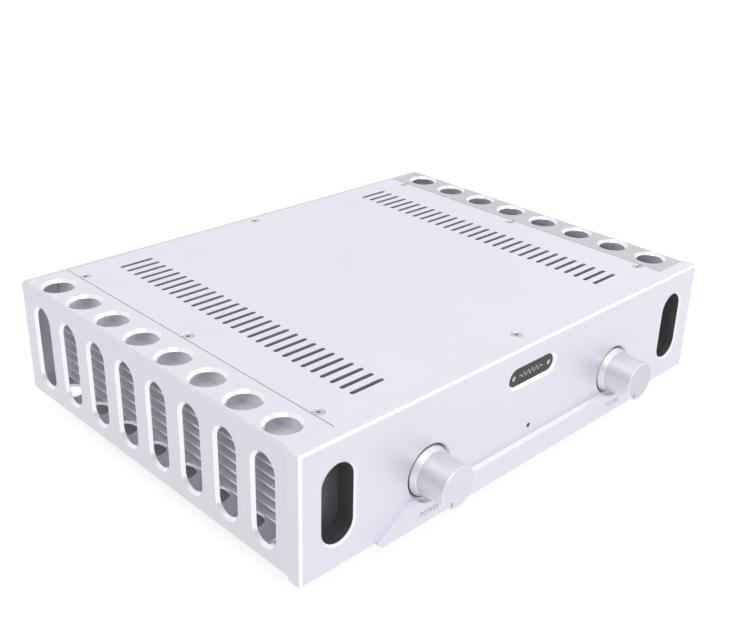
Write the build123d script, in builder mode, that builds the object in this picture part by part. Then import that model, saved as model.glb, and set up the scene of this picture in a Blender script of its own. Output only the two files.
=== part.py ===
from build123d import *
import os

# Integrated stereo amplifier in a flat aluminium case with a rotary power switch, a volume
# control and two finned side chambers.
# Frame: +X to the right seen from the front, +Y to the back, +Z up, millimetres.
# The origin is on the floor below the middle of the case.

os.makedirs("parts", exist_ok=True)

# ---------------------------------------------------------------- driving dimensions
CASE_WIDTH = 430.0
CASE_DEPTH = 325.0
CASE_HEIGHT = 94.0
FOOT_HEIGHT = 12.0

FRONT_PANEL_T = 12.0
REAR_PANEL_T = 3.0
SHELL_T = 2.5
LID_T = 3.0
FLOOR_STEP = 1.0            # the side shells and the floor sit this much above the front panel's edge
PANEL_CHAMFER = 1.5
SHELL_EDGE_R = 3.0
SEAM_GAP = 0.55             # between the lid and a side shell
END_GAP = 0.05              # between the lid and the front or rear panel

SHELL_WIDTH = 36.3          # width of the top and bottom strips of a side shell
VENT_COUNT = 8              # round holes and upright slots along each side
VENT_PITCH = 37.8
HOLE_R = 11.0
VENT_CHAMFER = 2.2
SLOT_WIDTH = 19.6
SLOT_HEIGHT = 65.0

LID_SLOT_COUNT = 29
LID_SLOT_PITCH = 9.5
LID_SLOT_LENGTH = 29.0
LID_SLOT_WIDTH = 3.5
LID_SLOT_X = 130.5

LID_SCREW_X = 174.0
LID_SCREW_Y = 136.0         # outer side screws, from the middle of the bay
LID_MIDDLE_SCREW_Y = 149.3
SCREW_R = 2.0
SCREW_HEAD_R = 4.0
SCREW_HEAD_H = 2.2
SCREW_HOLE_R = 2.15

SINK_FACE_X = 187.5         # outer face of a heat sink's base plate
SINK_BASE_T = 5.0
FIN_COUNT = 8
FIN_PITCH = 8.0
FIN_T = 1.6
FIN_LENGTH = 17.5
FIN_BACK_GAP = 28.0         # the fins stop this far in front of the rear panel
TOP_FIN_Z = 82.0            # top face of the highest fin, above the case's bottom

LIP_PROUD = 4.8
LIP_HALF_BOTTOM = 152.0
LIP_HALF_TOP = 122.0
LIP_HEIGHT = 18.1

KNOB_X = 104.5
KNOB_Z = 34.7
KNOB_R = 16.0               # at the flange, from where the knob narrows towards its face
KNOB_FACE_R = 15.3
KNOB_PROUD = 26.0
KNOB_FLANGE_R = 18.2
KNOB_FLANGE_TOP_R = 16.4    # the flange is a cone that rises to this radius
KNOB_FLANGE_PROUD = 3.0
KNOB_SINK = 1.5             # how far the flange reaches into the panel
RECESS_R = 19.0
RECESS_DEPTH = 8.5
RECESS_CHAMFER = 1.6
SHAFT_R = 3.0
KNOB_FIT = 0.02             # radial play of a knob on its shaft
RUNNING_GAP = 0.05
MARK_RADIUS = 11.9
MARK_ANGLE = 240.0          # seven o'clock, counted from +X towards +Z
MARK_LENGTH = 3.2
MARK_WIDTH = 1.2
MARK_DEPTH = 0.5

WINDOW_X = 184.5
WINDOW_Z = 47.0
WINDOW_WIDTH = 26.0
WINDOW_HEIGHT = 57.5
WINDOW_CHAMFER = 1.4
WINDOW_WALL = 1.5
WINDOW_DEPTH = 15.3

PLATE_Z = 71.3
PLATE_WIDTH = 50.0
PLATE_HEIGHT = 13.4
PLATE_CHAMFER = 2.0
PLATE_T = 1.5
PLATE_SCREW_X = 19.6

LED_Z = 27.0
LED_R = 1.75

FOOT_X = 160.0
FOOT_Y = 112.0
FOOT_R = 20.0

POST_X = (-88.0, -63.0, -18.0, 7.0)
POST_Z = 46.0
RCA_COLUMNS = 4
RCA_PITCH_X = 27.0
RCA_PITCH_Z = 24.0
RCA_X = 105.0
RCA_Z = 46.0
IEC_X = -150.0
IEC_Z = 46.0
IEC_FLANGE_W = 50.0
IEC_FLANGE_H = 34.0
IEC_BODY_W = 28.0
IEC_BODY_H = 31.0
IEC_SCREW_X = 20.0

TRANSFORMER_X = -58.0
TRANSFORMER_Y = -20.0
TRANSFORMER_R = 55.0
TRANSFORMER_BORE_R = 20.0
TRANSFORMER_H = 46.0
BOARD_T = 1.6
BOARD_STANDOFF = 8.0

# ---------------------------------------------------------------- derived dimensions
FRONT = -CASE_DEPTH / 2
BACK = CASE_DEPTH / 2
BASE = FOOT_HEIGHT
TOP = BASE + CASE_HEIGHT
SIDE = CASE_WIDTH / 2
UNDERSIDE = BASE + FLOOR_STEP
FLOOR_TOP = UNDERSIDE + SHELL_T
CEILING = TOP - LID_T
BAY_FRONT = FRONT + FRONT_PANEL_T
BAY_BACK = BACK - REAR_PANEL_T
BAY_MID = (BAY_FRONT + BAY_BACK) / 2
BAY_DEPTH = BAY_BACK - BAY_FRONT
SHELL_MID_HEIGHT = (UNDERSIDE + TOP) / 2
LID_HALF = SIDE - SHELL_WIDTH - SEAM_GAP
PANEL_MID_HEIGHT = BASE + CASE_HEIGHT / 2
HOLE_X = (SINK_FACE_X + SIDE - SHELL_T) / 2 - 1.5
VENT_Z = BASE + 46.5
SINK_BOTTOM = FLOOR_TOP + 0.3
SINK_TOP = TOP - SHELL_T - 0.3
SINK_INNER_X = SINK_FACE_X - SINK_BASE_T
SINK_FRONT = BAY_FRONT + 5.2      # clear of the window inserts
SINK_LENGTH = BAY_BACK - 0.5 - SINK_FRONT
FIN_RUN = BAY_BACK - FIN_BACK_GAP - SINK_FRONT
RAIL_T = 3.0
RAIL_LEG = 16.0
RAIL_HEIGHT = 8.0
BRACKET_HEIGHT = 14.0
RAIL_INNER_X = SINK_INNER_X - 0.2
FLOOR_BOARD_Z = FLOOR_TOP + BOARD_STANDOFF
KNOB_HEIGHT = BASE + KNOB_Z


# ---------------------------------------------------------------- helpers
def facing_front(y):
    """Plane at depth y whose normal points to the front, with +X and +Z as its axes."""
    return Plane.XZ.offset(-y)


def turned_about_y(*profile):
    """Solid turned about the Y axis from a closed profile of (radius, y) points."""
    with BuildPart() as piece:
        with BuildSketch(Plane.XY):
            with BuildLine():
                Polyline(*profile, close=True)
            make_face()
        revolve(axis=Axis.Y)
    return piece.part


def turned_about_z(*profile):
    """Solid turned about the Z axis from a closed profile of (radius, z) points."""
    with BuildPart() as piece:
        with BuildSketch(Plane.XZ):
            with BuildLine():
                Polyline(*profile, close=True)
            make_face()
        revolve(axis=Axis.Z)
    return piece.part


def countersunk_screw(length):
    """Countersunk socket screw with its head's top face at z = 0, pointing down."""
    blank = turned_about_z(
        (0, 0), (SCREW_HEAD_R - 0.1, 0), (SCREW_R, -SCREW_HEAD_H), (SCREW_R, -length), (0, -length),
    )
    with BuildPart() as screw:
        add(blank)
        with BuildSketch(Plane.XY):
            RegularPolygon(radius=1.45, side_count=6)
        extrude(amount=-1.4, mode=Mode.SUBTRACT)
    return screw.part


def button_screw(length, head_r=3.6, head_h=2.0, shank_r=SCREW_R - 0.05):
    """Button-head socket screw with the underside of its head at z = 0, pointing down."""
    blank = turned_about_z(
        (0, head_h), (head_r * 0.6, head_h), (head_r, head_h * 0.35), (head_r, 0),
        (shank_r, 0), (shank_r, -length), (0, -length),
    )
    with BuildPart() as screw:
        add(blank)
        with BuildSketch(Plane.XY.offset(head_h)):
            RegularPolygon(radius=1.3, side_count=6)
        extrude(amount=-head_h * 0.6, mode=Mode.SUBTRACT)
    return screw.part


def save(name, part, label):
    """Label a finished piece and write it as its own STEP file."""
    part.label = label
    export_step(part, f"parts/{name}.step")


# ---------------------------------------------------------------- front panel
knob_recess = turned_about_y(
    (0, FRONT - 10), (RECESS_R + RECESS_CHAMFER, FRONT - 10), (RECESS_R + RECESS_CHAMFER, FRONT),
    (RECESS_R, FRONT + RECESS_CHAMFER), (RECESS_R, FRONT + RECESS_DEPTH), (0, FRONT + RECESS_DEPTH),
)

with BuildPart() as front_panel:
    with BuildSketch(facing_front(BAY_FRONT)):
        with Locations((0, PANEL_MID_HEIGHT)):
            Rectangle(CASE_WIDTH, CASE_HEIGHT)
    extrude(amount=FRONT_PANEL_T)
    chamfer(front_panel.faces().sort_by(Axis.Y)[0].edges(), PANEL_CHAMFER)
    # the lower lip, which also fills the chamfer behind it
    with BuildSketch(facing_front(FRONT + PANEL_CHAMFER + 1)):
        with BuildLine():
            Polyline(
                (-LIP_HALF_BOTTOM, BASE), (-LIP_HALF_TOP, BASE + LIP_HEIGHT),
                (LIP_HALF_TOP, BASE + LIP_HEIGHT), (LIP_HALF_BOTTOM, BASE), close=True,
            )
        make_face()
    extrude(amount=PANEL_CHAMFER + 1 + LIP_PROUD)
    # recesses and shaft holes of the two knobs
    with Locations((-KNOB_X, 0, KNOB_HEIGHT), (KNOB_X, 0, KNOB_HEIGHT)):
        add(knob_recess, mode=Mode.SUBTRACT)
    with BuildSketch(facing_front(BAY_FRONT)):
        with Locations((-KNOB_X, KNOB_HEIGHT), (KNOB_X, KNOB_HEIGHT)):
            Circle(SHAFT_R + 2.2)
    extrude(amount=FRONT_PANEL_T, mode=Mode.SUBTRACT)
    # windows, with a wider pocket behind for the black inserts
    with BuildSketch(facing_front(FRONT)):
        with Locations((-WINDOW_X, BASE + WINDOW_Z), (WINDOW_X, BASE + WINDOW_Z)):
            SlotOverall(WINDOW_HEIGHT, WINDOW_WIDTH, rotation=90)
    extrude(amount=-FRONT_PANEL_T, mode=Mode.SUBTRACT)
    chamfer(
        front_panel.edges(Select.LAST).filter_by_position(Axis.Y, FRONT - 0.01, FRONT + 0.01),
        WINDOW_CHAMFER,
    )
    with BuildSketch(facing_front(BAY_FRONT)):
        with Locations((-WINDOW_X, BASE + WINDOW_Z), (WINDOW_X, BASE + WINDOW_Z)):
            SlotOverall(WINDOW_HEIGHT + 2 * WINDOW_WALL, WINDOW_WIDTH + 2 * WINDOW_WALL, rotation=90)
    extrude(amount=FRONT_PANEL_T - WINDOW_CHAMFER - 0.3, mode=Mode.SUBTRACT)
    # nameplate recess
    with BuildSketch(facing_front(FRONT)):
        with Locations((0, BASE + PLATE_Z)):
            SlotOverall(PLATE_WIDTH, PLATE_HEIGHT)
    extrude(amount=-PLATE_CHAMFER - PLATE_T, mode=Mode.SUBTRACT)
    chamfer(
        front_panel.edges(Select.LAST).filter_by_position(Axis.Y, FRONT - 0.01, FRONT + 0.01),
        PLATE_CHAMFER,
    )
    with BuildSketch(facing_front(FRONT)):
        with Locations((-PLATE_SCREW_X, BASE + PLATE_Z), (PLATE_SCREW_X, BASE + PLATE_Z)):
            Circle(1.05)
        with Locations((0, BASE + LED_Z)):
            Circle(LED_R + 0.1)
    extrude(amount=-PLATE_CHAMFER - PLATE_T - 5, mode=Mode.SUBTRACT)
    with BuildSketch(facing_front(BAY_FRONT)):
        with Locations((0, BASE + LED_Z)):
            Circle(LED_R + 0.1)
    extrude(amount=FRONT_PANEL_T, mode=Mode.SUBTRACT)
save("front_panel", front_panel.part, "front panel")

# ---------------------------------------------------------------- side shells
with BuildPart() as left_side_shell:
    with BuildSketch(facing_front(BAY_FRONT)) as shell_profile:
        with Locations((-SIDE + SHELL_WIDTH / 2, SHELL_MID_HEIGHT)):
            Rectangle(SHELL_WIDTH, TOP - UNDERSIDE)
        with Locations((-SIDE + SHELL_T + SHELL_WIDTH / 2, SHELL_MID_HEIGHT)):
            Rectangle(SHELL_WIDTH, TOP - UNDERSIDE - 2 * SHELL_T, mode=Mode.SUBTRACT)
        fillet(shell_profile.vertices().group_by(Axis.X)[0], SHELL_EDGE_R)
        fillet(shell_profile.vertices().group_by(Axis.X)[2], 0.8)
    extrude(amount=-BAY_DEPTH)
    # round holes through the top strip, chamfered outside
    with BuildSketch(Plane.XY.offset(TOP)):
        with Locations((-HOLE_X, BAY_MID)):
            with GridLocations(1, VENT_PITCH, 1, VENT_COUNT):
                Circle(HOLE_R)
    extrude(amount=-SHELL_T, mode=Mode.SUBTRACT)
    chamfer(
        left_side_shell.edges(Select.LAST).filter_by_position(Axis.Z, TOP - 0.01, TOP + 0.01),
        VENT_CHAMFER,
    )
    # the same holes through the bottom strip
    with BuildSketch(Plane.XY.offset(UNDERSIDE)):
        with Locations((-HOLE_X, BAY_MID)):
            with GridLocations(1, VENT_PITCH, 1, VENT_COUNT):
                Circle(HOLE_R)
    extrude(amount=SHELL_T, mode=Mode.SUBTRACT)
    # upright slots through the side wall, chamfered outside
    with BuildSketch(Plane.YZ.offset(-SIDE)):
        with Locations((BAY_MID, VENT_Z)):
            with GridLocations(VENT_PITCH, 1, VENT_COUNT, 1):
                SlotOverall(SLOT_HEIGHT, SLOT_WIDTH, rotation=90)
    extrude(amount=SHELL_T, mode=Mode.SUBTRACT)
    chamfer(
        left_side_shell.edges(Select.LAST).filter_by_position(Axis.X, -SIDE - 0.01, -SIDE + 0.01),
        VENT_CHAMFER,
    )
with BuildPart() as right_side_shell:
    mirror(left_side_shell.part, about=Plane.YZ)
save("left_side_shell", left_side_shell.part, "left side shell")
save("right_side_shell", right_side_shell.part, "right side shell")

# ---------------------------------------------------------------- heat sinks
with BuildPart() as left_heatsink:
    with BuildSketch(facing_front(SINK_FRONT)):
        with Locations((-SINK_FACE_X + SINK_BASE_T / 2, (SINK_BOTTOM + SINK_TOP) / 2)):
            Rectangle(SINK_BASE_T, SINK_TOP - SINK_BOTTOM)
    extrude(amount=-SINK_LENGTH)
    with BuildSketch(facing_front(SINK_FRONT)):
        top_fin_centre = BASE + TOP_FIN_Z - FIN_T / 2
        row_centre = top_fin_centre - (FIN_COUNT - 1) * FIN_PITCH / 2
        with Locations((-SINK_FACE_X - FIN_LENGTH / 2, row_centre)):
            with GridLocations(1, FIN_PITCH, 1, FIN_COUNT):
                Rectangle(FIN_LENGTH + 0.4, FIN_T)
    extrude(amount=-FIN_RUN)
with BuildPart() as right_heatsink:
    mirror(left_heatsink.part, about=Plane.YZ)
save("left_heatsink", left_heatsink.part, "left heat sink")
save("right_heatsink", right_heatsink.part, "right heat sink")

# ---------------------------------------------------------------- lid and its screws
LID_SCREWS = [(x, BAY_MID + y) for x in (-LID_SCREW_X, LID_SCREW_X) for y in (-LID_SCREW_Y, 0, LID_SCREW_Y)]
LID_SCREWS += [(0, BAY_MID - LID_MIDDLE_SCREW_Y), (0, BAY_MID + LID_MIDDLE_SCREW_Y)]

with BuildPart() as top_lid:
    with BuildSketch(Plane.XY.offset(CEILING)):
        with Locations((0, BAY_MID)):
            Rectangle(2 * LID_HALF, BAY_DEPTH - 2 * END_GAP)
            with GridLocations(2 * LID_SLOT_X, LID_SLOT_PITCH, 2, LID_SLOT_COUNT):
                SlotOverall(LID_SLOT_LENGTH, LID_SLOT_WIDTH, mode=Mode.SUBTRACT)
    extrude(amount=LID_T)
    with Locations(*[(x, y, TOP) for x, y in LID_SCREWS]):
        CounterSinkHole(SCREW_HOLE_R, SCREW_HEAD_R + 0.6)
save("top_lid", top_lid.part, "lid")

lid_screw = countersunk_screw(9)
with BuildPart() as lid_screws:
    with Locations(*[(x, y, TOP - 0.4) for x, y in LID_SCREWS]):
        add(lid_screw)
save("lid_screws", lid_screws.part, "lid screws")

# ---------------------------------------------------------------- corner rails
with BuildPart() as lid_rail:
    with BuildSketch(facing_front(SINK_FRONT)):
        with Locations((-RAIL_INNER_X + RAIL_T / 2, CEILING - RAIL_HEIGHT / 2)):
            Rectangle(RAIL_T, RAIL_HEIGHT)
        with Locations((-RAIL_INNER_X + RAIL_LEG / 2, CEILING - RAIL_T / 2)):
            Rectangle(RAIL_LEG, RAIL_T)
    extrude(amount=-SINK_LENGTH)
    with Locations(*[(x, y, CEILING) for x, y in LID_SCREWS if x < 0]):
        Hole(SCREW_HOLE_R, depth=RAIL_T)

# one rail under the lid and one on the floor along each heat sink
with BuildPart() as left_rails:
    add(lid_rail.part)
    mirror(lid_rail.part, about=Plane.XY.offset((CEILING + FLOOR_TOP) / 2))
with BuildPart() as right_rails:
    mirror(left_rails.part, about=Plane.YZ)
save("left_rails", left_rails.part, "left lid and floor rails")
save("right_rails", right_rails.part, "right lid and floor rails")

# ---------------------------------------------------------------- floor plate and its screws
FLOOR_SCREWS = [(sx * LID_SCREW_X, BAY_MID + y) for sx in (-1, 1) for y in (-LID_SCREW_Y, 0, LID_SCREW_Y)]
FEET = [(sx * FOOT_X, BAY_MID + sy * FOOT_Y) for sx in (-1, 1) for sy in (-1, 1)]
floor_slot_rows = 11

with BuildPart() as bottom_plate:
    with BuildSketch(Plane.XY.offset(UNDERSIDE)):
        with Locations((0, BAY_MID)):
            Rectangle(2 * LID_HALF, BAY_DEPTH - 2 * END_GAP)
            with GridLocations(2 * LID_SLOT_X, LID_SLOT_PITCH, 2, floor_slot_rows):
                SlotOverall(LID_SLOT_LENGTH, LID_SLOT_WIDTH, mode=Mode.SUBTRACT)
        with Locations(*FEET, *FLOOR_SCREWS):
            Circle(SCREW_HOLE_R, mode=Mode.SUBTRACT)
        with Locations((TRANSFORMER_X, TRANSFORMER_Y)):
            Circle(4.2, mode=Mode.SUBTRACT)
    extrude(amount=SHELL_T)
save("bottom_plate", bottom_plate.part, "floor plate")

floor_screw = button_screw(6)
with BuildPart() as bottom_screws:
    with Locations(*[Location((x, y, UNDERSIDE), (180, 0, 0)) for x, y in FLOOR_SCREWS]):
        add(floor_screw)
save("bottom_screws", bottom_screws.part, "floor screws")

# ---------------------------------------------------------------- feet
foot_ring = turned_about_z(
    (SCREW_HOLE_R, UNDERSIDE), (FOOT_R - 1, UNDERSIDE), (FOOT_R, UNDERSIDE - 1), (FOOT_R, 3.0),
    (FOOT_R - 1, 2.0), (15.0, 2.0), (15.0, 4.0), (7.0, 4.0), (7.0, 7.0), (SCREW_HOLE_R, 7.0),
)
pad_ring = turned_about_z((8.0, 0), (14.0, 0), (14.9, 0.9), (14.9, 4.0), (8.0, 4.0))
foot_screw = button_screw(UNDERSIDE - 7.0 + SHELL_T + 4.0)
foot_nut = turned_about_z(
    (SCREW_R, FLOOR_TOP), (3.6, FLOOR_TOP), (3.6, FLOOR_TOP + 3.0), (SCREW_R, FLOOR_TOP + 3.0),
)
with BuildPart() as feet:
    with Locations(*FEET):
        add(foot_ring)
with BuildPart() as foot_pads:
    with Locations(*FEET):
        add(pad_ring)
with BuildPart() as foot_screws:
    with Locations(*[Location((x, y, 7.0), (180, 0, 0)) for x, y in FEET]):
        add(foot_screw)
    with Locations(*FEET):
        add(foot_nut)
save("feet", feet.part, "feet")
save("foot_pads", foot_pads.part, "rubber foot pads")
save("foot_screws", foot_screws.part, "foot screws")

# ---------------------------------------------------------------- window inserts
insert_front = FRONT + WINDOW_CHAMFER + 0.3
groove_y = FRONT + 7.7
with BuildPart() as window_insert_left:
    with BuildSketch(facing_front(FRONT + WINDOW_DEPTH + WINDOW_WALL)):
        with Locations((-WINDOW_X, BASE + WINDOW_Z)):
            SlotOverall(WINDOW_HEIGHT + 2 * WINDOW_WALL - 0.2, WINDOW_WIDTH + 2 * WINDOW_WALL - 0.2, rotation=90)
    extrude(amount=WINDOW_DEPTH + WINDOW_WALL + FRONT - insert_front)
    with BuildSketch(facing_front(FRONT + WINDOW_DEPTH)):
        with Locations((-WINDOW_X, BASE + WINDOW_Z)):
            SlotOverall(WINDOW_HEIGHT, WINDOW_WIDTH, rotation=90)
    extrude(amount=WINDOW_DEPTH, mode=Mode.SUBTRACT)
    # thin shadow groove half way down the wall
    with BuildSketch(facing_front(groove_y + 0.5)):
        with Locations((-WINDOW_X, BASE + WINDOW_Z)):
            SlotOverall(WINDOW_HEIGHT + 1.4, WINDOW_WIDTH + 1.4, rotation=90)
    extrude(amount=0.5, mode=Mode.SUBTRACT)
with BuildPart() as window_insert_right:
    mirror(window_insert_left.part, about=Plane.YZ)
save("window_insert_left", window_insert_left.part, "left window insert")
save("window_insert_right", window_insert_right.part, "right window insert")

# ---------------------------------------------------------------- nameplate and pilot light
plate_back = FRONT + PLATE_CHAMFER + PLATE_T
with BuildPart() as nameplate:
    with BuildSketch(facing_front(plate_back)):
        with Locations((0, BASE + PLATE_Z)):
            SlotOverall(PLATE_WIDTH - 0.2, PLATE_HEIGHT - 0.2)
        with Locations((-PLATE_SCREW_X, BASE + PLATE_Z), (PLATE_SCREW_X, BASE + PLATE_Z)):
            Circle(1.15, mode=Mode.SUBTRACT)
    extrude(amount=PLATE_T)
save("nameplate", nameplate.part, "blank nameplate")

plate_screw = button_screw(4.5, head_r=1.9, head_h=0.9, shank_r=1.0)
with BuildPart() as nameplate_screws:
    with Locations(*[
        Location((x, FRONT + PLATE_CHAMFER, BASE + PLATE_Z), (90, 0, 0))
        for x in (-PLATE_SCREW_X, PLATE_SCREW_X)
    ]):
        add(plate_screw)
save("nameplate_screws", nameplate_screws.part, "nameplate screws")

led_body = turned_about_y(
    (0, FRONT + 0.6), (LED_R * 0.6, FRONT + 0.9), (LED_R, FRONT + 2.0), (LED_R, BAY_FRONT + 0.2),
    (2.4, BAY_FRONT + 0.2), (2.4, BAY_FRONT + 2.0), (0, BAY_FRONT + 2.0),
)
with BuildPart() as power_led:
    with Locations((0, 0, BASE + LED_Z)):
        add(led_body)
save("power_led", power_led.part, "pilot light")

# ---------------------------------------------------------------- knobs with their inlaid marks
knob_turned = turned_about_y(
    (9.0, FRONT + KNOB_SINK), (KNOB_FLANGE_R - 0.4, FRONT + KNOB_SINK),
    (KNOB_FLANGE_R, FRONT + KNOB_SINK - 0.4), (KNOB_FLANGE_R, FRONT + 0.8),
    (KNOB_FLANGE_TOP_R, FRONT - KNOB_FLANGE_PROUD), (KNOB_R, FRONT - KNOB_FLANGE_PROUD - 0.4),
    (KNOB_FACE_R, FRONT - KNOB_PROUD + 0.7), (KNOB_FACE_R - 0.7, FRONT - KNOB_PROUD),
    (0, FRONT - KNOB_PROUD), (0, FRONT - 14.0),
    (SHAFT_R + KNOB_FIT, FRONT - 14.0), (SHAFT_R + KNOB_FIT, FRONT - 2.5), (9.0, FRONT - 2.5),
)
shaft_blank = turned_about_y(
    (0, FRONT - 13.5), (SHAFT_R, FRONT - 13.5), (SHAFT_R, BAY_FRONT + 9.0), (0, BAY_FRONT + 9.0),
)
bush_blank = turned_about_y(
    (SHAFT_R + RUNNING_GAP, FRONT + 4.6), (4.9, FRONT + 4.6), (4.9, BAY_FRONT + 0.2),
    (SHAFT_R + RUNNING_GAP, BAY_FRONT + 0.2),
)
mark_plane = facing_front(FRONT - KNOB_PROUD)
GRUB_Y = FRONT - 9.0

for control, knob_x, body_size, body_depth in (
    ("power", -KNOB_X, 32.0, 38.0),
    ("volume", KNOB_X, 27.0, 30.0),
):
    with BuildPart() as knob:
        with Locations((knob_x, 0, KNOB_HEIGHT)):
            add(knob_turned)
        with BuildSketch(mark_plane):
            with Locations((knob_x, KNOB_HEIGHT)):
                with PolarLocations(MARK_RADIUS, 1, start_angle=MARK_ANGLE):
                    SlotOverall(MARK_LENGTH, MARK_WIDTH)
        extrude(amount=-MARK_DEPTH, mode=Mode.SUBTRACT)
        with BuildSketch(Plane.XY.offset(KNOB_HEIGHT)):
            with Locations((knob_x, GRUB_Y)):
                Circle(SCREW_HOLE_R)
        extrude(amount=-KNOB_FLANGE_R, mode=Mode.SUBTRACT)
    save(f"{control}_knob", knob.part, f"{control} knob")

    with BuildPart() as mark:
        with BuildSketch(mark_plane.offset(-MARK_DEPTH)):
            with Locations((knob_x, KNOB_HEIGHT)):
                with PolarLocations(MARK_RADIUS, 1, start_angle=MARK_ANGLE):
                    SlotOverall(MARK_LENGTH, MARK_WIDTH)
        extrude(amount=MARK_DEPTH - 0.1)
    save(f"{control}_knob_mark", mark.part, f"{control} knob mark")

    with BuildPart() as grub:
        with BuildSketch(Plane.XY.offset(KNOB_HEIGHT - SHAFT_R)):
            with Locations((knob_x, GRUB_Y)):
                Circle(SCREW_R)
        extrude(amount=-6.0)
        with BuildSketch(Plane.XY.offset(KNOB_HEIGHT - SHAFT_R - 6.0)):
            with Locations((knob_x, GRUB_Y)):
                RegularPolygon(radius=1.1, side_count=6)
        extrude(amount=2.5, mode=Mode.SUBTRACT)
    save(f"{control}_knob_grub", grub.part, f"{control} knob grub screw")

    with BuildPart() as shaft:
        with Locations((knob_x, 0, KNOB_HEIGHT)):
            add(shaft_blank)
    save(f"{control}_shaft", shaft.part, f"{control} shaft")

    with BuildPart() as control_body:
        with BuildSketch(facing_front(BAY_FRONT + 0.2 + body_depth)):
            with Locations((knob_x, KNOB_HEIGHT)):
                RectangleRounded(body_size, body_size, 2.0)
        extrude(amount=body_depth)
        with Locations((knob_x, 0, KNOB_HEIGHT)):
            add(bush_blank)
        with BuildSketch(facing_front(BAY_FRONT + 10.0)):
            with Locations((knob_x, KNOB_HEIGHT)):
                Circle(SHAFT_R + RUNNING_GAP)
        extrude(amount=10.0, mode=Mode.SUBTRACT)
    body_name = "power_switch" if control == "power" else "volume_control"
    save(body_name, control_body.part, body_name.replace("_", " "))

with BuildPart() as control_nuts:
    with BuildSketch(facing_front(FRONT + RECESS_DEPTH - 0.05)):
        with Locations((-KNOB_X, KNOB_HEIGHT), (KNOB_X, KNOB_HEIGHT)):
            RegularPolygon(radius=7.2, side_count=6)
            Circle(4.95, mode=Mode.SUBTRACT)
    extrude(amount=2.3)
save("control_nuts", control_nuts.part, "control nuts")

# ---------------------------------------------------------------- rear panel
RCA_SPOTS = GridLocations(RCA_PITCH_X, RCA_PITCH_Z, RCA_COLUMNS, 2)
rca_places = [(RCA_X + spot.position.X, BASE + RCA_Z + spot.position.Y) for spot in RCA_SPOTS.locations]
REAR_SCREWS = [(x, z) for x in (-177.0, 177.0) for z in (BASE + 20.0, BASE + 76.0)]
IEC_SCREWS = [(IEC_X + sx * IEC_SCREW_X, BASE + IEC_Z) for sx in (-1, 1)]
bracket_screw = (0, CEILING - 10.0)

with BuildPart() as rear_panel:
    with BuildSketch(facing_front(BACK)):
        with Locations((0, SHELL_MID_HEIGHT)):
            RectangleRounded(CASE_WIDTH, TOP - UNDERSIDE, SHELL_EDGE_R)
        with Locations(*rca_places):
            Circle(4.8, mode=Mode.SUBTRACT)
        with Locations(*[(x, BASE + POST_Z) for x in POST_X]):
            Circle(5.2, mode=Mode.SUBTRACT)
        with Locations((IEC_X, BASE + IEC_Z)):
            Rectangle(IEC_BODY_W + 0.4, IEC_BODY_H + 0.4, mode=Mode.SUBTRACT)
        with Locations(*REAR_SCREWS, *IEC_SCREWS, bracket_screw):
            Circle(SCREW_HOLE_R, mode=Mode.SUBTRACT)
    extrude(amount=REAR_PANEL_T)
save("rear_panel", rear_panel.part, "rear panel")

rear_screw = button_screw(9)
with BuildPart() as rear_screws:
    with Locations(*[Location((x, BACK, z), (-90, 0, 0)) for x, z in (*REAR_SCREWS, bracket_screw)]):
        add(rear_screw)
    with Locations(*[Location((x, BACK + 2.6, z), (-90, 0, 0)) for x, z in IEC_SCREWS]):
        add(rear_screw)
save("rear_screws", rear_screws.part, "rear screws")

# angle brackets under the two middle lid screws, and threaded blocks for the outer rear screws
bracket_width = 24.0
bracket_foot = 18.0
block_size = 10.0
with BuildPart() as end_brackets:
    with BuildSketch(Plane.YZ.offset(-bracket_width / 2)):
        for end, inward in ((BAY_FRONT, 1), (BAY_BACK, -1)):
            with Locations((end + inward * (RAIL_T / 2 + 0.1), CEILING - BRACKET_HEIGHT / 2)):
                Rectangle(RAIL_T, BRACKET_HEIGHT)
            with Locations((end + inward * (bracket_foot / 2 + 0.1), CEILING - RAIL_T / 2)):
                Rectangle(bracket_foot, RAIL_T)
    extrude(amount=bracket_width)
    with Locations(*[(x, y, CEILING) for x, y in LID_SCREWS if x == 0]):
        Hole(SCREW_HOLE_R, depth=RAIL_T)
    with BuildSketch(facing_front(BAY_BACK)):
        with Locations(bracket_screw):
            Circle(SCREW_HOLE_R)
    extrude(amount=RAIL_T + 1, mode=Mode.SUBTRACT)
    with BuildSketch(facing_front(BAY_BACK - 0.2)):
        with Locations(*REAR_SCREWS):
            Rectangle(block_size, block_size)
            Circle(SCREW_HOLE_R, mode=Mode.SUBTRACT)
    extrude(amount=9.0)
save("end_brackets", end_brackets.part, "lid brackets and rear screw blocks")

# ---------------------------------------------------------------- phono sockets
rca_metal = turned_about_y(
    (3.4, BACK + 10.5), (3.9, BACK + 10.5), (4.15, BACK + 10.2), (4.15, BACK + 2.3),
    (6.2, BACK + 2.3), (6.6, BACK + 1.9), (6.6, BACK + 0.05), (4.7, BACK + 0.05),
    (4.7, BAY_BACK - 8.0), (3.4, BAY_BACK - 8.0),
)
rca_core = turned_about_y(
    (1.7, BACK + 9.6), (3.35, BACK + 9.6), (3.35, BAY_BACK - 10.0), (0, BAY_BACK - 10.0),
    (0, BACK - 3.0), (1.7, BACK - 3.0),
)
upper_row = [(x, 0, z) for x, z in rca_places if z > BASE + RCA_Z]
lower_row = [(x, 0, z) for x, z in rca_places if z < BASE + RCA_Z]
with BuildPart() as rca_sockets:
    with Locations(*upper_row, *lower_row):
        add(rca_metal)
with BuildPart() as rca_cores_white:
    with Locations(*upper_row):
        add(rca_core)
with BuildPart() as rca_cores_red:
    with Locations(*lower_row):
        add(rca_core)
save("rca_sockets", rca_sockets.part, "phono sockets")
save("rca_cores_white", rca_cores_white.part, "left channel socket cores")
save("rca_cores_red", rca_cores_red.part, "right channel socket cores")

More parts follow.
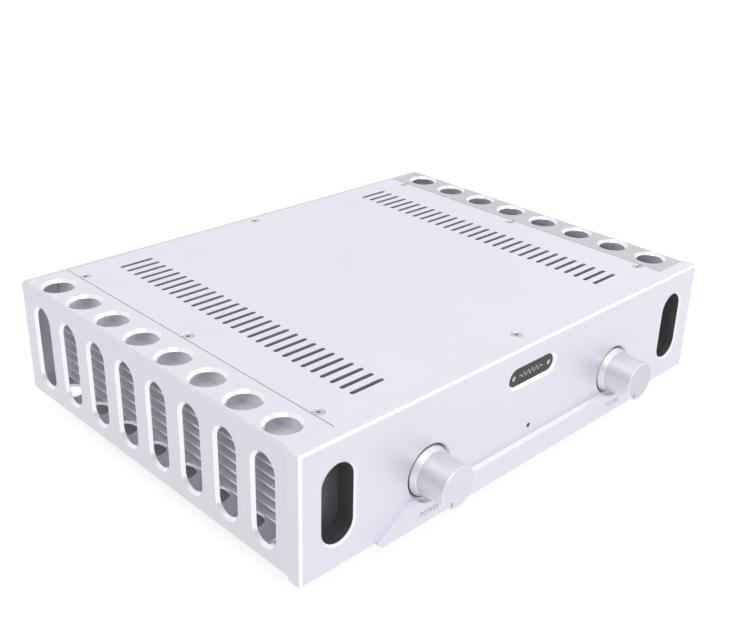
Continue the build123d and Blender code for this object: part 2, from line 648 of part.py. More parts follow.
# ---------------------------------------------------------------- speaker binding posts
post_stud = turned_about_y(
    (2.0, BACK + 24.4), (3.7, BACK + 24.4), (3.9, BACK + 24.0), (3.9, BAY_BACK - 12.0),
    (0, BAY_BACK - 12.0), (0, BACK + 5.0), (2.0, BACK + 5.0),
)
post_collar = turned_about_y(
    (3.95, BACK + 8.0), (7.6, BACK + 8.0), (8.6, BACK + 7.0), (8.6, BACK + 0.05), (5.1, BACK + 0.05),
    (5.1, BAY_BACK - 0.05), (8.6, BAY_BACK - 0.05), (8.6, BAY_BACK - 3.9), (3.95, BAY_BACK - 3.9),
)
post_washer = turned_about_y(
    (3.98, BACK + 8.1), (7.4, BACK + 8.1), (7.4, BACK + 9.5), (3.98, BACK + 9.5),
)
cap_blank = turned_about_y(
    (2.4, BACK + 26.0), (6.8, BACK + 26.0), (7.8, BACK + 25.0), (7.8, BACK + 10.6), (7.0, BACK + 9.6),
    (3.95, BACK + 9.6), (3.95, BACK + 24.7), (2.4, BACK + 24.7),
)
with BuildPart() as post_cap_shape:
    add(cap_blank)
    # grip flutes
    with BuildSketch(facing_front(BACK + 11.5)):
        with PolarLocations(7.8 + 0.5, 12):
            Circle(1.1)
    extrude(amount=-13.0, mode=Mode.SUBTRACT)
post_spots = [(x, 0, BASE + POST_Z) for x in POST_X]
with BuildPart() as post_studs:
    with Locations(*post_spots):
        add(post_stud)
with BuildPart() as post_collars:
    with Locations(*post_spots):
        add(post_collar)
save("post_studs", post_studs.part, "binding post studs")
save("post_collars", post_collars.part, "binding post collars")
for number, spot in enumerate(post_spots, start=1):
    with BuildPart() as washer:
        with Locations(spot):
            add(post_washer)
    save(f"post_washer_{number}", washer.part, f"binding post washer {number}")
    with BuildPart() as cap:
        with Locations(spot):
            add(post_cap_shape.part)
    save(f"post_cap_{number}", cap.part, f"binding post cap {number}")

# ---------------------------------------------------------------- mains inlet with fuse drawer
inlet_z = BASE + IEC_Z
socket_z = inlet_z + 5.0
drawer_z = inlet_z - 10.0
socket_depth = 17.0
flange_t = 2.5
drawer_width = 23.0
drawer_height = 7.0
drawer_length = 21.0
with BuildPart() as iec_inlet:
    with BuildSketch(facing_front(BACK + flange_t)):
        with Locations((IEC_X, inlet_z)):
            RectangleRounded(IEC_FLANGE_W, IEC_FLANGE_H, 3.0)
        with Locations(*IEC_SCREWS):
            Circle(SCREW_HOLE_R, mode=Mode.SUBTRACT)
    extrude(amount=flange_t - 0.05)
    with BuildSketch(facing_front(BACK + flange_t)):
        with Locations((IEC_X, inlet_z)):
            Rectangle(IEC_BODY_W, IEC_BODY_H)
    extrude(amount=30.0)
    # six-sided socket for the mains plug
    with BuildSketch(facing_front(BACK + flange_t)) as socket_shape:
        with Locations((IEC_X, socket_z)):
            Rectangle(24.4, 16.6)
        chamfer(socket_shape.vertices().group_by(Axis.Y)[-1], 4.5)
    extrude(amount=socket_depth, mode=Mode.SUBTRACT)
    with BuildSketch(facing_front(BACK + flange_t)):
        with Locations((IEC_X, drawer_z)):
            Rectangle(drawer_width + 0.4, drawer_height + 0.4)
    extrude(amount=drawer_length + 1.0, mode=Mode.SUBTRACT)
save("iec_inlet", iec_inlet.part, "mains inlet")

with BuildPart() as iec_pins:
    with BuildSketch(facing_front(BACK + flange_t - socket_depth + 12.0)):
        with Locations((IEC_X - 7.0, socket_z - 2.0), (IEC_X, socket_z + 2.0), (IEC_X + 7.0, socket_z - 2.0)):
            Rectangle(2.0, 4.0)
    extrude(amount=12.0 - 0.05)
save("iec_pins", iec_pins.part, "mains inlet pins")

with BuildPart() as fuse_drawer:
    with BuildSketch(facing_front(BACK + flange_t)):
        with Locations((IEC_X, drawer_z)):
            Rectangle(drawer_width, drawer_height)
    extrude(amount=drawer_length)
    with BuildSketch(facing_front(BACK + flange_t + 1.6)):
        with Locations((IEC_X, drawer_z)):
            RectangleRounded(drawer_width + 2.0, drawer_height + 1.4, 1.0)
    extrude(amount=1.5)
    # finger notch in the drawer's face and cradle for the fuse
    with BuildSketch(facing_front(BACK + flange_t + 1.6)):
        with Locations((IEC_X, drawer_z + drawer_height / 2)):
            Rectangle(8.0, 2.0)
    extrude(amount=1.0, mode=Mode.SUBTRACT)
    with BuildSketch(Plane.XY.offset(drawer_z + drawer_height / 2)):
        with Locations((IEC_X, BACK + flange_t - 14.0)):
            Rectangle(20.6, 5.6)
    extrude(amount=-5.8, mode=Mode.SUBTRACT)
save("fuse_drawer", fuse_drawer.part, "fuse drawer")

with BuildPart() as fuse:
    with BuildSketch(Plane.YZ.offset(IEC_X - 10.0)):
        with Locations((BACK + flange_t - 14.0, drawer_z + drawer_height / 2 - 3.0)):
            Circle(2.5)
    extrude(amount=20.0)
save("fuse", fuse.part, "fuse")

# ---------------------------------------------------------------- transformer
toroid_blank = turned_about_z(
    (TRANSFORMER_BORE_R, FLOOR_TOP + 0.1), (TRANSFORMER_R, FLOOR_TOP + 0.1),
    (TRANSFORMER_R, FLOOR_TOP + 0.1 + TRANSFORMER_H), (TRANSFORMER_BORE_R, FLOOR_TOP + 0.1 + TRANSFORMER_H),
)
with BuildPart() as transformer:
    with Locations((TRANSFORMER_X, TRANSFORMER_Y)):
        add(toroid_blank)
    fillet(transformer.edges().filter_by(GeomType.CIRCLE), 9.0)
save("transformer", transformer.part, "toroidal transformer")

plate_z = FLOOR_TOP + TRANSFORMER_H + 0.2
plate_t = 2.0
steel_dish = turned_about_z(
    (4.3, plate_z), (TRANSFORMER_R - 14.0, plate_z), (TRANSFORMER_R - 14.0, plate_z + plate_t),
    (4.3, plate_z + plate_t),
)
with BuildPart() as transformer_plate:
    with Locations((TRANSFORMER_X, TRANSFORMER_Y)):
        add(steel_dish)
save("transformer_plate", transformer_plate.part, "transformer clamp plate")

bolt_top = plate_z + plate_t + 0.1
bolt_blank = turned_about_z(
    (0, bolt_top + 5.3), (6.5, bolt_top + 5.3), (6.5, bolt_top), (4.0, bolt_top),
    (4.0, FLOOR_TOP - SHELL_T - 0.1), (7.0, FLOOR_TOP - SHELL_T - 0.1), (7.0, FLOOR_TOP - SHELL_T - 3.0),
    (0, FLOOR_TOP - SHELL_T - 3.0),
)
with BuildPart() as transformer_bolt:
    with Locations((TRANSFORMER_X, TRANSFORMER_Y)):
        add(bolt_blank)
save("transformer_bolt", transformer_bolt.part, "transformer bolt")

# ---------------------------------------------------------------- circuit boards on standoffs
STANDOFF_INSET = 12.0
BOARDS = {
    "supply_board": [(68.0, -20.0, 90.0, 130.0)],
    "input_board": [(105.0, 115.0, 116.0, 44.0)],
    "amp_boards": [(-149.0, -15.0, 52.0, 176.0), (149.0, -15.0, 52.0, 176.0)],
}
standoff_spots = []
for board_name, places in BOARDS.items():
    with BuildPart() as board:
        for board_x, board_y, board_w, board_d in places:
            corners = [
                (board_x + sx * (board_w / 2 - STANDOFF_INSET), board_y + sy * (board_d / 2 - STANDOFF_INSET))
                for sx in (-1, 1)
                for sy in (-1, 1)
            ]
            standoff_spots += corners
            with BuildSketch(Plane.XY.offset(FLOOR_BOARD_Z)):
                with Locations((board_x, board_y)):
                    RectangleRounded(board_w, board_d, 2.0)
                with Locations(*corners):
                    Circle(1.6, mode=Mode.SUBTRACT)
            extrude(amount=BOARD_T)
    save(board_name, board.part, board_name.replace("_", " "))

with BuildPart() as board_standoffs:
    with BuildSketch(Plane.XY.offset(FLOOR_TOP + 0.05)):
        with Locations(*standoff_spots):
            RegularPolygon(radius=3.0, side_count=6)
    extrude(amount=BOARD_STANDOFF - 0.1)
save("board_standoffs", board_standoffs.part, "board standoffs")

component_z = FLOOR_BOARD_Z + BOARD_T + 0.05
CAPACITOR_R = 17.5
with BuildPart() as filter_capacitors:
    with BuildSketch(Plane.XY.offset(component_z)):
        with Locations((68.0, -20.0)):
            with GridLocations(2 * CAPACITOR_R + 3, 2 * CAPACITOR_R + 4, 2, 3):
                Circle(CAPACITOR_R)
    extrude(amount=50.0)
    fillet(filter_capacitors.edges().group_by(Axis.Z)[-1], 2.0)
save("filter_capacitors", filter_capacitors.part, "filter capacitors")

TRANSISTOR_Y = (-90.0, -50.0, 30.0, 70.0)
with BuildPart() as left_transistors:
    with BuildSketch(Plane.YZ.offset(-SINK_INNER_X + 0.05)):
        with Locations(*[(y, FLOOR_BOARD_Z + 24.0) for y in TRANSISTOR_Y]):
            Rectangle(15.6, 20.0)
    extrude(amount=4.8)
    with BuildSketch(Plane.YZ.offset(-SINK_INNER_X + 2.0)):
        for y in TRANSISTOR_Y:
            with Locations((y, FLOOR_BOARD_Z + 8.0)):
                with GridLocations(5.45, 1, 3, 1):
                    Rectangle(1.2, 12.6)
    extrude(amount=0.8)
with BuildPart() as output_transistors:
    add(left_transistors.part)
    mirror(left_transistors.part, about=Plane.YZ)
save("output_transistors", output_transistors.part, "output transistors")
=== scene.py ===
import math

import bmesh
import bpy
from mathutils import Matrix, Vector


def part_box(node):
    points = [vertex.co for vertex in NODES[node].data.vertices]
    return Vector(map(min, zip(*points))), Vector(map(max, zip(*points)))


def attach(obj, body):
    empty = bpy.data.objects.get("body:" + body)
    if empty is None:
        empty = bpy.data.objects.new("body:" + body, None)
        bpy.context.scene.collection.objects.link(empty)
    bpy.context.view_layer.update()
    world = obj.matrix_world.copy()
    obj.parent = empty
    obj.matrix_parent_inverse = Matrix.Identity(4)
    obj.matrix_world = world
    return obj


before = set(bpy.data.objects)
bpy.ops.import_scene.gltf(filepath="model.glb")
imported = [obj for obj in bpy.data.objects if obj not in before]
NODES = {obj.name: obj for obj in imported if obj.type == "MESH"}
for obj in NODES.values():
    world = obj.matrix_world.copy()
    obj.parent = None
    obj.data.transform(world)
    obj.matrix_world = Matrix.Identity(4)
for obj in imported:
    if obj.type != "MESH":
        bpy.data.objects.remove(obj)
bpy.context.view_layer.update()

CASE = "amplifier_case"

# ---------------------------------------------------------------- places read from the frame
PANEL_T = 0.012
panel_lo, panel_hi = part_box("front_panel")
FRONT = panel_hi.y - PANEL_T          # the panel's front face, without its lip
LIP_FRONT = panel_lo.y
BASE = panel_lo.z
TOP = panel_hi.z
SIDE = panel_hi.x
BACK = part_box("rear_panel")[1].y
shaft_lo, shaft_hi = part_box("volume_shaft")
KNOB_X = (shaft_lo.x + shaft_hi.x) / 2
KNOB_Z = (shaft_lo.z + shaft_hi.z) / 2
CHAMFER_DEPTH = 0.0031                # edges and chamfers of a side shell lie within this of its faces
KNOB_CLEAR_R = 0.0225                 # no painted highlight on the panel's chamfers inside this radius round a knob
FLAT = 0.95                           # how near a normal is to an axis on a face square to it


def centre(node):
    low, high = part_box(node)
    return (low + high) / 2


# ---------------------------------------------------------------- camera
def turned_camera(azimuth, elevation, roll, distance, right, up, target):
    """Camera matrix for a view of target from azimuth and elevation, moved sideways and up."""
    a, e, r = math.radians(azimuth), math.radians(elevation), math.radians(roll)
    back = Vector((math.sin(a) * math.cos(e), -math.cos(a) * math.cos(e), math.sin(e)))
    level = (-back).cross(Vector((0, 0, 1))).normalized()
    upright = level.cross(-back)
    x_axis = math.cos(r) * level + math.sin(r) * upright
    y_axis = -math.sin(r) * level + math.cos(r) * upright
    place = target + back * distance + x_axis * right + y_axis * up
    matrix = Matrix((x_axis, y_axis, back)).transposed().to_4x4()
    matrix.translation = place
    return matrix


camera_data = bpy.data.cameras.new("camera")
camera_data.lens = 49.98
camera_data.sensor_width = 36.0
camera_data.shift_x = -0.0384
camera_data.shift_y = -0.0039
camera_data.clip_start = 0.01
camera_data.clip_end = 50.0
camera = bpy.data.objects.new("camera", camera_data)
bpy.context.scene.collection.objects.link(camera)
camera.matrix_world = turned_camera(
    -46.3126, 25.1584, 2.2628, 0.76832, -0.08838, 0.10913, Vector((0, FRONT, BASE))
)
bpy.context.scene.camera = camera


# ---------------------------------------------------------------- node helpers
class Nodes:
    """Short way to write a material's node tree."""

    def __init__(self, name):
        self.material = bpy.data.materials.new(name)
        self.material.use_nodes = True
        self.tree = self.material.node_tree
        self.shader = self.tree.nodes["Principled BSDF"]
        self.coords = self.tree.nodes.new("ShaderNodeTexCoord").outputs["Object"]

    def node(self, kind, inputs=None, **settings):
        made = self.tree.nodes.new(kind)
        for key, value in settings.items():
            setattr(made, key, value)
        for key, value in (inputs or {}).items():
            self.put(made.inputs[key], value)
        return made

    def put(self, socket, value):
        if isinstance(value, bpy.types.NodeSocket):
            self.tree.links.new(value, socket)
        else:
            socket.default_value = value

    def noise(self, scale, detail=3.0, rough=0.5, vector=None, distortion=0.0):
        return self.node(
            "ShaderNodeTexNoise",
            {"Vector": vector or self.coords, "Scale": scale, "Detail": detail,
             "Roughness": rough, "Distortion": distortion},
        ).outputs["Fac"]

    def moved(self, offset, scale=(1, 1, 1)):
        return self.node(
            "ShaderNodeMapping",
            {"Vector": self.coords, "Location": offset, "Scale": scale},
        ).outputs["Vector"]

    def ramp(self, value, low, high, out_low, out_high):
        return self.node(
            "ShaderNodeMapRange",
            {"Value": value, "From Min": low, "From Max": high, "To Min": out_low, "To Max": out_high},
        ).outputs["Result"]

    def colours(self, value, low, high):
        made = self.node("ShaderNodeMix", data_type="RGBA")
        self.put(made.inputs["Factor"], value)
        for key, tone in (("A", low), ("B", high)):
            self.put(made.inputs[key], tone if isinstance(tone, bpy.types.NodeSocket) else (*tone, 1))
        return made.outputs["Result"]

    def math(self, operation, a, b=0.0):
        made = self.node("ShaderNodeMath", operation=operation)
        self.put(made.inputs[0], a)
        self.put(made.inputs[1], b)
        return made.outputs[0]

    def axes(self, vector):
        return self.node("ShaderNodeSeparateXYZ", {"Vector": vector}).outputs

    def normal(self):
        """Parts of the surface's own direction along X, Y and Z."""
        return self.axes(self.node("ShaderNodeNewGeometry").outputs["True Normal"])

    def slant(self, axis):
        """1 where the surface leans about 45 degrees to an axis, as a machined chamfer does."""
        normal = self.normal()[axis]
        made = self.node("ShaderNodeMath", operation="COMPARE")
        self.put(made.inputs[0], self.math("ABSOLUTE", normal))
        self.put(made.inputs[1], 0.70)
        self.put(made.inputs[2], 0.22)
        return made.outputs[0]

    def beyond(self, value, limit):
        return self.math("GREATER_THAN", value, limit)

    def bump(self, height, distance, strength=1.0, below=None):
        made = self.node(
            "ShaderNodeBump", {"Height": height, "Distance": distance, "Strength": strength}
        )
        if below is not None:
            self.put(made.inputs["Normal"], below)
        return made.outputs["Normal"]

    def finish(self, **sockets):
        for key, value in sockets.items():
            self.put(self.shader.inputs[key.replace("_", " ")], value)
        return self.material


def shell_painted_highlights(n):
    """Painted highlights on the chamfers of the side shells' holes and slots, and a soft painted glint
    on their long edges.
    """
    place = n.axes(n.coords)
    high = n.beyond(place[2], TOP - CHAMFER_DEPTH)
    outer = n.beyond(n.math("ABSOLUTE", place[0]), SIDE - CHAMFER_DEPTH)
    top = n.math("MULTIPLY", n.slant(2), high)
    side = n.math("MULTIPLY", n.slant(0), outer)
    edge = n.math("MULTIPLY", n.math("MULTIPLY", high, outer), 0.75)
    return n.math("SUBTRACT", n.math("MAXIMUM", top, side), edge)


def panel_painted_highlights(n):
    """Painted highlights on the front panel's chamfers and on the ledge of its lip, and a weaker painted
    highlight on the lip's slanted ends.
    """
    place = n.axes(n.coords)
    normal = n.normal()
    chamfers = n.math("MULTIPLY", n.slant(1), n.beyond(place[1], FRONT - 0.0001))
    from_knob = n.math("SUBTRACT", n.math("ABSOLUTE", place[0]), KNOB_X)
    across = n.math("POWER", n.math("ABSOLUTE", from_knob), 2.0)
    along = n.math("POWER", n.math("ABSOLUTE", n.math("SUBTRACT", place[2], KNOB_Z)), 2.0)
    outside = n.beyond(n.math("ADD", across, along), KNOB_CLEAR_R**2)
    chamfers = n.math("MULTIPLY", chamfers, outside)
    upward = n.math("ADD", n.math("MULTIPLY", n.beyond(normal[2], FLAT), 0.64),
                    n.math("MULTIPLY", n.beyond(normal[2], 0.3), 0.36))
    lip = n.math("MULTIPLY", upward, n.math("LESS_THAN", place[1], FRONT - 0.00005))
    return n.math("MAXIMUM", chamfers, lip)


def front_face(n):
    """1 on faces that look straight to the front."""
    return n.math("LESS_THAN", n.normal()[1], -FLAT)


def top_face(n):
    """1 on faces that look straight up."""
    return n.beyond(n.normal()[2], FLAT)


def anodised(
    name, tone, rough=(0.36, 0.44), grain=0.000006, cloud=0.012, metallic=0.85,
    painted_highlights=None, highlight_tone=None, highlight_metallic=0.85, front_painted_shading=None, top_painted_shading=None,
):
    """Bead-blasted clear anodised aluminium: fine satin grain with faint clouding, with optional painted
    light and shade by face and painted highlights.
    """
    n = Nodes(name)
    fine = n.noise(2600.0, 2.0, 0.6)
    mid = n.noise(420.0, 3.0, 0.55)
    wide = n.noise(14.0, 3.0, 0.5)
    tone_low = tuple(c * (1 - cloud) for c in tone)
    tone_high = tuple(min(1.0, c * (1 + cloud)) for c in tone)
    mixed = n.math("ADD", n.math("MULTIPLY", wide, 0.7), n.math("MULTIPLY", mid, 0.3))
    colour = n.colours(n.ramp(mixed, 0.35, 0.65, 0.0, 1.0), tone_low, tone_high)
    roughness = n.ramp(n.math("ADD", wide, n.math("MULTIPLY", fine, 0.4)), 0.4, 0.9, *rough)
    normal = n.bump(fine, grain)
    # painted light and shade: faces looking straight to the front or straight up get their own lighter
    # or darker tone
    if front_painted_shading is not None:
        colour = n.colours(front_face(n), colour, front_painted_shading)
    if top_painted_shading is not None:
        colour = n.colours(top_face(n), colour, top_painted_shading)
    # painted highlight: a pale, less metallic colour laid over the masked chamfers and ledges
    if painted_highlights is not None:
        highlight_mask = painted_highlights(n)
        colour = n.colours(highlight_mask, colour, highlight_tone)
        roughness = n.ramp(highlight_mask, 0.0, 1.0, roughness, 0.24)
        if highlight_metallic != metallic:
            metallic = n.ramp(highlight_mask, 0.0, 1.0, metallic, highlight_metallic)
    return n.finish(Base_Color=colour, Metallic=metallic, Roughness=roughness, Normal=normal)


def extruded(name, tone):
    """Anodised extrusion: long die lines along Y over a fine satin grain."""
    n = Nodes(name)
    lines = n.noise(1.0, 2.0, 0.5, n.moved((0, 0, 0), (900, 18, 900)))
    fine = n.noise(2200.0, 2.0, 0.6)
    wide = n.noise(18.0, 3.0)
    colour = n.colours(n.ramp(wide, 0.3, 0.7, 0.0, 1.0), tuple(c * 0.95 for c in tone), tone)
    roughness = n.ramp(lines, 0.3, 0.7, 0.42, 0.55)
    normal = n.bump(fine, 0.000006, 1.0, n.bump(lines, 0.000015))
    return n.finish(Base_Color=colour, Metallic=0.2, Roughness=roughness, Normal=normal)


def turned_metal(name, place, tone, face_shade_tone, rough, pitch=0.0005):
    """Satin turned metal with fine rings about an upright face's axis through place."""
    n = Nodes(name)
    around = n.moved(tuple(-c for c in place))
    rings = n.node(
        "ShaderNodeTexWave",
        {"Vector": around, "Scale": 0.31831 / pitch / 2, "Distortion": 0.6, "Detail": 1.0},
        wave_type="RINGS", rings_direction="Y",
    ).outputs["Fac"]
    fine = n.noise(2400.0, 2.0, 0.6)
    wide = n.noise(60.0, 2.0)
    colour = n.colours(n.ramp(wide, 0.3, 0.7, 0.0, 1.0), tuple(c * 0.96 for c in tone), tone)
    # painted shade: the front face gets its own darker tone
    colour = n.colours(front_face(n), colour, face_shade_tone)
    roughness = n.ramp(n.math("ADD", n.math("MULTIPLY", rings, 0.4), fine), 0.3, 1.1, *rough)
    normal = n.bump(fine, 0.000003, 1.0, n.bump(rings, 0.000003))
    return n.finish(Base_Color=colour, Metallic=0.9, Roughness=roughness, Normal=normal)


def small_metal(name, tone, rough=(0.22, 0.4)):
    """Machined or plated small metal parts with tool marks and tarnish."""
    n = Nodes(name)
    marks = n.noise(1800.0, 3.0, 0.6, distortion=0.4)
    stain = n.noise(220.0, 3.0)
    colour = n.colours(n.ramp(stain, 0.3, 0.7, 0.0, 1.0), tuple(c * 0.82 for c in tone), tone)
    roughness = n.ramp(marks, 0.3, 0.7, *rough)
    return n.finish(
        Base_Color=colour, Metallic=1.0, Roughness=roughness, Normal=n.bump(marks, 0.000012)
    )


def moulded(name, tone, rough=(0.42, 0.58), grain=0.00003, scale=1500.0, lift=0.25):
    """Moulded plastic, rubber or paint with a fine spark-eroded texture."""
    n = Nodes(name)
    fine = n.noise(scale, 3.0, 0.6)
    wide = n.noise(40.0, 3.0)
    high = tuple(min(1.0, c * (1 + lift) + 0.004) for c in tone)
    colour = n.colours(n.ramp(wide, 0.3, 0.7, 0.0, 1.0), tone, high)
    roughness = n.ramp(n.math("ADD", n.math("MULTIPLY", wide, 0.5), fine), 0.4, 1.1, *rough)
    return n.finish(
        Base_Color=colour, Metallic=0.0, Roughness=roughness, Normal=n.bump(fine, grain)
    )


def circuit_board(name):
    """Green solder resist with copper tracks showing through."""
    n = Nodes(name)
    cells = n.node(
        "ShaderNodeTexVoronoi", {"Vector": n.coords, "Scale": 260.0}, feature="DISTANCE_TO_EDGE"
    ).outputs["Distance"]
    track = n.ramp(cells, 0.03, 0.09, 1.0, 0.0)
    colour = n.colours(track, (0.012, 0.09, 0.045), (0.03, 0.2, 0.07))
    rough = n.ramp(n.noise(900.0), 0.3, 0.7, 0.25, 0.4)
    return n.finish(
        Base_Color=colour, Metallic=0.0, Roughness=rough, Normal=n.bump(track, 0.00004)
    )


def winding(name, place):
    """Overlapping turns of glossy yellow tape round a toroid."""
    n = Nodes(name)
    around = n.moved((-place.x, -place.y, -place.z))
    turns = n.node(
        "ShaderNodeTexGradient", {"Vector": around}, gradient_type="RADIAL"
    ).outputs["Fac"]
    wraps = n.math("FRACT", n.math("MULTIPLY", turns, 44.0))
    colour = n.colours(n.ramp(wraps, 0.0, 0.25, 0.0, 1.0), (0.33, 0.2, 0.02), (0.62, 0.42, 0.06))
    rough = n.ramp(n.noise(500.0), 0.3, 0.7, 0.25, 0.42)
    return n.finish(
        Base_Color=colour, Metallic=0.0, Roughness=rough, Normal=n.bump(wraps, 0.0003)
    )


def clear_glass(name, tone):
    """Clear glass with a faint smear."""
    n = Nodes(name)
    smear = n.noise(300.0, 3.0)
    colour = n.colours(smear, tone, tuple(min(1, c * 1.1) for c in tone))
    rough = n.ramp(smear, 0.3, 0.7, 0.05, 0.1)
    return n.finish(
        Base_Color=colour, Metallic=0.0, Roughness=rough, Transmission_Weight=0.85, IOR=1.5,
        Normal=n.bump(smear, 0.00001),
    )


# ---------------------------------------------------------------- materials
LID_TONE = (0.785, 0.775, 0.85)
SHELL_TONE = (0.665, 0.655, 0.72)
# pale tone of the painted highlights on the side shells' chamfers
SHELL_HIGHLIGHT_TONE = (0.88, 0.88, 0.92)
lid_metal = anodised("lid_anodised", LID_TONE)
# lit and shaded copies of one shell finish: the left shell's top is painted lighter, the right shell's
# top is painted darker
left_shell_lit_metal = anodised(
    "left_shell_lit_anodised", SHELL_TONE, painted_highlights=shell_painted_highlights, highlight_tone=SHELL_HIGHLIGHT_TONE,
    top_painted_shading=(0.775, 0.765, 0.83),
)
right_shell_shaded_metal = anodised(
    "right_shell_shaded_anodised", SHELL_TONE, painted_highlights=shell_painted_highlights, highlight_tone=SHELL_HIGHLIGHT_TONE,
    top_painted_shading=(0.585, 0.58, 0.605),
)
# the panel's front face and top are painted lighter than its other faces
panel_metal = anodised(
    "panel_anodised", (0.68, 0.67, 0.735), painted_highlights=panel_painted_highlights, highlight_tone=(0.97, 0.97, 1.0),
    highlight_metallic=0.05, front_painted_shading=(0.735, 0.725, 0.805), top_painted_shading=LID_TONE,
)
rear_metal = anodised("rear_anodised", (0.68, 0.67, 0.73))
inner_metal = anodised("inner_plate", (0.80, 0.80, 0.84), (0.42, 0.55), metallic=0.3)
sink_metal = extruded("sink_extrusion", (0.88, 0.88, 0.93))
screw_metal = small_metal("screw_steel", (0.66, 0.66, 0.68))
dark_screw = small_metal("black_oxide", (0.05, 0.05, 0.055), (0.35, 0.5))
nickel = small_metal("nickel_plate", (0.66, 0.65, 0.62))
gold = small_metal("gold_plate", (0.85, 0.62, 0.24), (0.12, 0.24))
black_finish = moulded("black_anodised", (0.07, 0.07, 0.074), (0.30, 0.40), 0.000006, 2400.0)
plate_black = moulded("nameplate_black", (0.006, 0.006, 0.007), (0.16, 0.26), 0.000006, 900.0)
plastic = moulded("moulded_black", (0.02, 0.02, 0.021))
white_plastic = moulded("moulded_white", (0.78, 0.78, 0.75), (0.25, 0.38), 0.00001, lift=0.04)
red_plastic = moulded("moulded_red", (0.5, 0.018, 0.015), (0.22, 0.34), 0.00001)
cap_red = moulded("cap_red", (0.46, 0.012, 0.012), (0.18, 0.3), 0.00001)
cap_black = moulded("cap_black", (0.012, 0.012, 0.013), (0.18, 0.3), 0.00001)
rubber = moulded("rubber_pad", (0.02, 0.02, 0.02), (0.65, 0.8), 0.00006, 900.0)
ink = moulded("inlaid_ink", (0.05, 0.05, 0.06), (0.45, 0.6))
label_ink = moulded("label_ink", (0.22, 0.22, 0.24), (0.5, 0.6), 0.00001)
lamp = moulded("lamp_lens", (0.03, 0.035, 0.04), (0.08, 0.16), 0.000004)
sleeve = moulded("shrink_sleeve", (0.02, 0.022, 0.06), (0.2, 0.32), 0.00001)
board_green = circuit_board("solder_resist")
winding_tape = winding("winding_tape", centre("transformer"))
fuse_glass = clear_glass("fuse_glass", (0.9, 0.95, 0.93))

MATERIALS = {
    lid_metal: ("top_lid",),
    left_shell_lit_metal: ("left_side_shell",),
    right_shell_shaded_metal: ("right_side_shell",),
    rear_metal: ("rear_panel", "feet"),
    panel_metal: ("front_panel",),
    inner_metal: ("bottom_plate", "left_rails", "right_rails", "end_brackets"),
    sink_metal: ("left_heatsink", "right_heatsink"),
    screw_metal: ("lid_screws", "nameplate_screws", "power_shaft", "volume_shaft", "control_nuts"),
    dark_screw: (
        "bottom_screws", "foot_screws", "rear_screws", "power_knob_grub", "volume_knob_grub",
    ),
    nickel: ("iec_pins", "transformer_plate", "transformer_bolt"),
    gold: (
        "rca_sockets", "post_studs", "board_standoffs",
        "post_washer_1", "post_washer_2", "post_washer_3", "post_washer_4",
    ),
    black_finish: ("window_insert_left", "window_insert_right"),
    plate_black: ("nameplate",),
    plastic: (
        "power_switch", "volume_control", "post_collars", "iec_inlet", "fuse_drawer",
        "output_transistors",
    ),
    white_plastic: ("rca_cores_white",),
    red_plastic: ("rca_cores_red",),
    cap_red: ("post_cap_1", "post_cap_3"),
    cap_black: ("post_cap_2", "post_cap_4"),
    rubber: ("foot_pads",),
    ink: ("power_knob_mark", "volume_knob_mark"),
    lamp: ("power_led",),
    sleeve: ("filter_capacitors",),
    board_green: ("supply_board", "input_board", "amp_boards"),
    winding_tape: ("transformer",),
    fuse_glass: ("fuse",),
}
for material, names in MATERIALS.items():
    for name in names:
        NODES[name].data.materials.clear()
        NODES[name].data.materials.append(material)
KNOB_SIDE = (0.81, 0.81, 0.835)
# painted shade: the knobs' fronts are darker than their sides, and the volume knob's front is darker
# still
KNOB_FACE_SHADES = {"power": (0.71, 0.695, 0.77), "volume": (0.63, 0.62, 0.70)}
for control in ("power", "volume"):
    knob = NODES[f"{control}_knob"]
    knob.data.materials.clear()
    knob.data.materials.append(
        turned_metal(
            f"{control}_knob_turned", centre(f"{control}_shaft"), KNOB_SIDE, KNOB_FACE_SHADES[control],
            rough=(0.40, 0.48),
        )
    )

# ---------------------------------------------------------------- small detail on the case
def add_piece(name, mesh, material):
    piece = bpy.data.objects.new(name, mesh)
    bpy.context.scene.collection.objects.link(piece)
    mesh.materials.clear()
    mesh.materials.append(material)
    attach(piece, CASE)
    return piece


def ribbon(points, width, y, thick):
    """Thin raised line on an upright face at depth y along a path of (x, z) points."""
    mesh = bpy.data.meshes.new("ribbon")
    bm = bmesh.new()
    rows = []
    for i, (x, z) in enumerate(points):
        ahead = Vector(points[min(i + 1, len(points) - 1)])
        behind = Vector(points[max(i - 1, 0)])
        run = (ahead - behind).normalized()
        side = Vector((-run.y, run.x)) * width / 2
        left = Vector((x, z)) + side
        right = Vector((x, z)) - side
        rows.append([
            bm.verts.new((left.x, y, left.y)),
            bm.verts.new((x, y - thick, z)),
            bm.verts.new((right.x, y, right.y)),
        ])
    for first, second in zip(rows, rows[1:]):
        bm.faces.new((first[0], first[1], second[1], second[0]))
        bm.faces.new((first[1], first[2], second[2], second[1]))
    bmesh.ops.recalc_face_normals(bm, faces=bm.faces)
    bm.to_mesh(mesh)
    bm.free()
    return mesh


LABEL_BASE = BASE + 0.0060
LABEL_HEIGHT = 0.0042
LABEL_WIDTH = 0.0175
LABEL_LIFT = 0.00002                  # keeps the back of the print clear of the face below it
LABEL_RELIEF = 0.002                  # turns the letters' own depth into metres
LABEL_SHIFT = {"POWER": -0.0032, "VOLUME": -0.0015}


